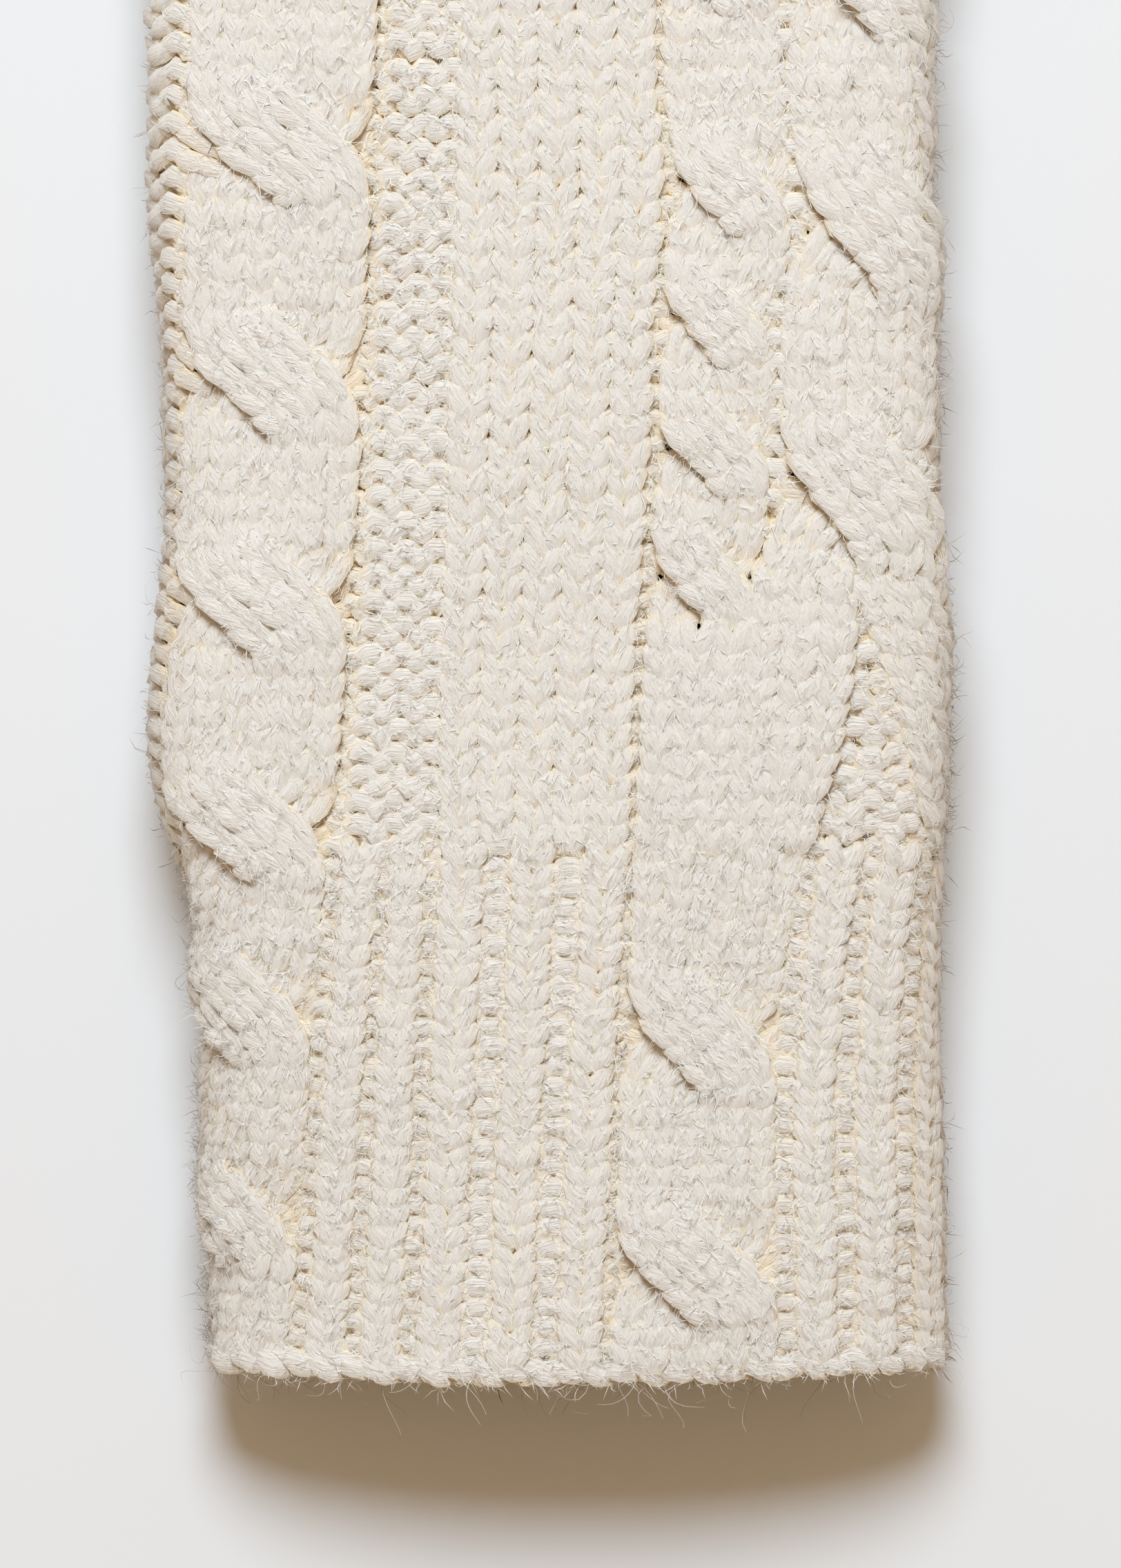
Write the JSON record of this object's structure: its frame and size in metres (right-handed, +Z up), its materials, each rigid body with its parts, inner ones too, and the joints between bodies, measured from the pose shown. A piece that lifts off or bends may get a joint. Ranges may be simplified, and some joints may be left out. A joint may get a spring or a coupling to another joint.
{
  "type": "fingerless glove",
  "caption": "Long cable-knitted fingerless glove lying flat, with a ribbed cuff, rope cables, a short ribbed thumb and open ends for the fingers.",
  "frame": {"origin": "under the middle of the glove's length and hand width, on the surface that it lies on", "axes": "+Y from the arm to the fingers, +X to the thumb side, +Z up, away from the surface that the palm lies on"},
  "size_m": [0.137, 0.28, 0.024],
  "materials": {
    "cable": "soft brushed wool yarn, cream, rope cables",
    "purl": "soft brushed wool yarn, cream, purl side out",
    "stockinette": "soft brushed wool yarn, cream, stockinette",
    "ribbing": "soft brushed wool yarn, cream, one by one rib",
    "edge": "soft brushed wool yarn, cream, cast-on and cast-off edges"
  },
  "bodies": {
    "hand": {"left_rope_cable": "cable", "left_purl_gutter": "purl", "centre_panel": "stockinette", "narrow_rope_cable": "cable", "right_rope_cable": "cable", "right_purl_gutter": "purl", "palm_panel": "stockinette", "little_finger_side": "stockinette", "thumb_side": "stockinette", "finger_rib_back": "ribbing", "finger_rib_palm": "ribbing", "cast_off_edge": "edge", "thumb_opening_edge": "edge"},
    "cuff": {"cuff_left_cable": "cable", "cuff_left_rib": "ribbing", "cuff_centre_rib": "ribbing", "cuff_right_cable": "cable", "cuff_right_rib": "ribbing", "cuff_palm": "stockinette", "cuff_little_finger_side": "stockinette", "cuff_thumb_side": "stockinette", "cast_on_edge": "edge"},
    "thumb": {"thumb_back": "stockinette", "thumb_palm": "stockinette", "thumb_rib_back": "ribbing", "thumb_rib_palm": "ribbing", "thumb_cast_off_edge": "edge"}
  },
  "joints": [
    {"name": "wrist_bend", "type": "hinge", "parent": "hand", "child": "cuff", "pos_m": [0, -0.075, 0.024], "axis": [-1, 0, 0], "range_deg": [0, 45]},
    {"name": "thumb_swing", "type": "hinge", "parent": "hand", "child": "thumb", "pos_m": [0.0485, 0.042, 0.009], "axis": [0, 0, -1], "range_deg": [0, 20]}
  ]
}
